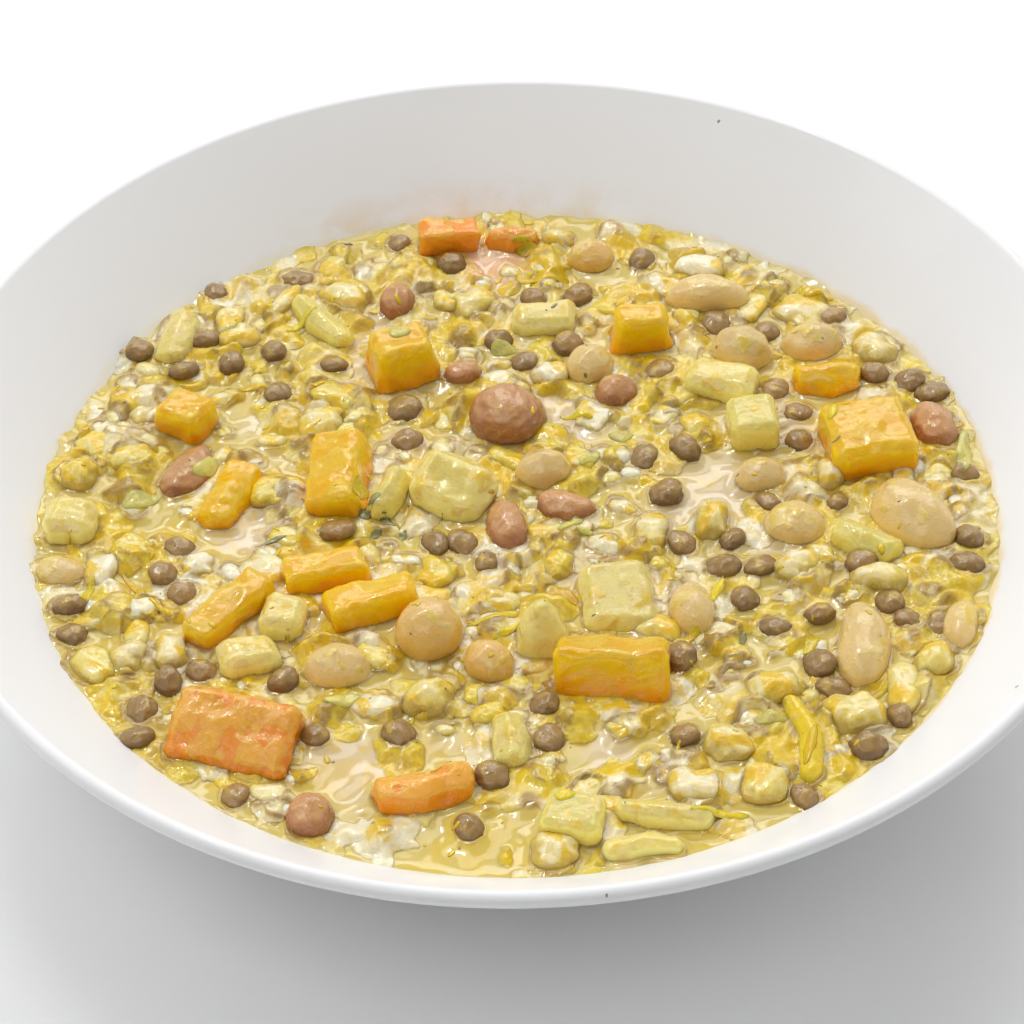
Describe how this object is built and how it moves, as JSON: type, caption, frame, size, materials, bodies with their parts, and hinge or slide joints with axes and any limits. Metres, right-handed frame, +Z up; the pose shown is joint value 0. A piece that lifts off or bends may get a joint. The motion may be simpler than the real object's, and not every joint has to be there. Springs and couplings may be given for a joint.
{
  "type": "bowl of legume and vegetable soup",
  "caption": "Wide glazed bowl filled with thick soup of lentils, beans, chickpeas, squash, carrot, potato and celery.",
  "frame": {"origin": "centre of the foot ring, at the level of the surface the bowl stands on", "axes": "+Z up along the bowl's axis; the side that faces the viewer in the picture is -Y"},
  "size_m": [0.2198, 0.2197, 0.05],
  "materials": {
    "glaze": "white, glossy clear glaze",
    "soup": "thick, wet, creamy and slightly see-through",
    "squash": "soft cooked flesh, wet",
    "carrot": "soft cooked flesh, wet",
    "red_bean": "smooth skin, wet",
    "white_bean": "smooth skin, wet",
    "chickpea": "smooth skin, wet",
    "potato": "soft, floury and wet",
    "celery": "fibrous, wet and slightly see-through"
  },
  "bodies": {
    "root": {"bowl": "glaze", "soup": "soup", "borlotti_back_right": "red_bean", "borlotti_centre": "red_bean", "borlotti_left": "red_bean", "borlotti_peeled": "red_bean", "borlotti_right": "red_bean", "borlotti_round_front": "red_bean", "borlotti_small_back": "red_bean", "borlotti_split_back": "red_bean", "borlotti_split_centre": "red_bean", "carrot_back_left": "carrot", "carrot_back_right": "carrot", "carrot_chunk_left": "carrot", "carrot_crescent_front": "carrot", "celery_block_right": "celery", "celery_chunk_front": "celery", "celery_pale_right": "celery", "celery_strip_back": "celery", "celery_upright_left": "celery", "chickpea_back": "chickpea", "chickpea_large": "chickpea", "chickpea_small": "chickpea", "leek_strip_front": "celery", "potato_centre": "potato", "potato_lump_back": "potato", "potato_lump_front": "potato", "potato_lump_left": "potato", "potato_lump_left_front": "potato", "potato_lump_right": "potato", "potato_right_flat": "potato", "potato_slab_back_left": "potato", "potato_strip_edge": "potato", "potato_strip_front": "potato", "potato_wedge_left": "potato", "potato_wedge_middle": "potato", "squash_behind_block": "squash", "squash_block_front": "squash", "squash_block_right": "squash", "squash_centre_back": "squash", "squash_left_back": "squash", "squash_long_left": "squash", "squash_middle_front": "squash", "squash_middle_left": "squash", "squash_right_back": "squash", "squash_strip_left": "squash", "squash_upright_left": "squash", "white_bean_back": "white_bean", "white_bean_big_right": "white_bean", "white_bean_centre": "white_bean", "white_bean_left_edge": "white_bean", "white_bean_pale_right": "white_bean", "white_bean_right_edge": "white_bean", "white_bean_skin_back": "white_bean", "white_bean_tan_back": "white_bean", "white_bean_tan_back_right": "white_bean", "white_bean_tan_centre": "white_bean", "white_bean_tan_left": "white_bean", "white_bean_upright": "white_bean", "white_bean_yellow": "white_bean"}
  },
  "joints": []
}
